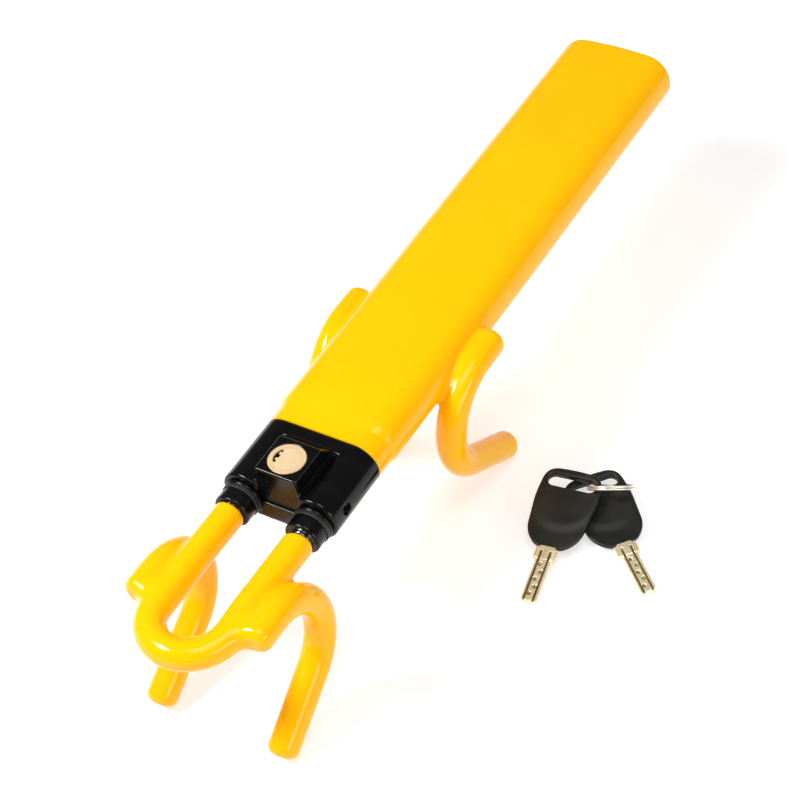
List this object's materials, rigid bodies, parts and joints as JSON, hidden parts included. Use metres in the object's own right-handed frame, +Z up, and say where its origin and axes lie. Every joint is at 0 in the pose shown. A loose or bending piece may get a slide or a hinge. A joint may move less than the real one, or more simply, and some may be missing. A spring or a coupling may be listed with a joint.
{
  "type": "steering wheel lock",
  "caption": "Telescopic steering wheel lock: a yellow skinned U rod slides in a flat tube with a black key head, with hooks bent down at both ends, and loose keys on a ring.",
  "frame": {"origin": "the bottom centre of the whole object's box at rest: the floor under the hooks' tips", "axes": "+X runs along the tube from the U's bend to the tube's closed end, +Y is to the left, and +Z is up, out of the keyed face"},
  "size_m": [0.4658, 0.1982, 0.1084],
  "materials": {
    "yellow_vinyl": "thick dipped vinyl, glossy, with a slight waviness",
    "tube_steel": "steel under the vinyl, primed yellow",
    "hook_steel": "bare bar under the vinyl",
    "rod_chrome": "bright chrome plate",
    "collar_steel": "turned and dull",
    "head_black": "glossy black paint over a casting",
    "bush_black": "black, semi-gloss, turned",
    "wiper_rubber": "matte black",
    "screw_black": "blackened steel",
    "cylinder_brass": "pale, fine turned face",
    "plug_brass": "pale, fine turned face",
    "lock_parts_steel": "zinc plated, dull",
    "tumbler_brass": "plain",
    "spring_steel": "plain wire",
    "guide_plastic": "black nylon",
    "key_plastic": "black, satin, lightly worn rim",
    "key_brass": "milled, with fine tool marks",
    "ring_chrome": "polished sprung wire"
  },
  "bodies": {
    "tube_and_head": {"tube_shell": "tube_steel", "tube_end_cap": "tube_steel", "tube_coat": "yellow_vinyl", "rear_hook_left": "hook_steel", "rear_hook_right": "hook_steel", "rear_hook_coat_left": "yellow_vinyl", "rear_hook_coat_right": "yellow_vinyl", "lock_housing": "head_black", "housing_pins": "collar_steel", "base_plate": "head_black", "base_plate_screws": "screw_black", "rod_bush_left": "bush_black", "rod_bush_right": "bush_black", "bush_ring_left": "wiper_rubber", "bush_ring_right": "wiper_rubber", "bush_screw_left": "screw_black", "bush_screw_right": "screw_black", "cylinder_barrel": "cylinder_brass", "cylinder_pin": "lock_parts_steel", "tumbler_pins": "tumbler_brass", "tumbler_springs": "spring_steel", "guide_block": "guide_plastic", "guide_block_pins": "collar_steel"},
    "sliding_rod": {"u_rod": "rod_chrome", "front_coat": "yellow_vinyl", "front_hook_left": "hook_steel", "front_hook_right": "hook_steel", "front_hook_coat_left": "yellow_vinyl", "front_hook_coat_right": "yellow_vinyl", "rod_stop_left": "collar_steel", "rod_stop_right": "collar_steel", "rod_stop_pins": "collar_steel"},
    "key_plug": {"cylinder_plug": "plug_brass", "cam_disc": "lock_parts_steel", "cam_screw": "lock_parts_steel"},
    "bolt_left": {"pawl_left": "lock_parts_steel", "pawl_pin_left": "lock_parts_steel"},
    "bolt_right": {"pawl_right": "lock_parts_steel", "pawl_pin_right": "lock_parts_steel"},
    "key_ring": {"key_ring": "ring_chrome"},
    "key_a": {"key_a_head": "key_plastic", "key_a_blade": "key_brass"},
    "key_b": {"key_b_head": "key_plastic", "key_b_blade": "key_brass"}
  },
  "joints": [
    {"name": "rod_slide", "type": "slide", "parent": "tube_and_head", "child": "sliding_rod", "axis": [-1, 0, 0], "range_m": [0, 0.22]},
    {"name": "plug_turn", "type": "hinge", "parent": "tube_and_head", "child": "key_plug", "pos_m": [-0.11793, 0.05274, 0.10826], "axis": [0, 0, -1], "range_deg": [0, 90]},
    {"name": "bolt_left_slide", "type": "slide", "parent": "tube_and_head", "child": "bolt_left", "axis": [0, 1, 0], "range_m": [0, 0.00301]},
    {"name": "bolt_right_slide", "type": "slide", "parent": "tube_and_head", "child": "bolt_right", "axis": [0, -1, 0], "range_m": [0, 0.00301]},
    {"name": "key_set_lift", "type": "slide", "parent": "tube_and_head", "child": "key_ring", "axis": [0, 0, 1], "range_m": [0, 0.1]},
    {"name": "key_a_swing", "type": "hinge", "parent": "key_ring", "child": "key_a", "pos_m": [-0.00215, -0.04202, 0.0123], "axis": [0, 0, 1], "range_deg": [-20, 0]},
    {"name": "key_b_swing", "type": "hinge", "parent": "key_ring", "child": "key_b", "pos_m": [0.00366, -0.04043, 0.00609], "axis": [0, 0, 1], "range_deg": [0, 4]}
  ],
  "couplings": [
    {"joint": "bolt_left_slide", "follows": "plug_turn", "m_per_rad": 0.0019099},
    {"joint": "bolt_right_slide", "follows": "plug_turn", "m_per_rad": 0.0019099}
  ]
}
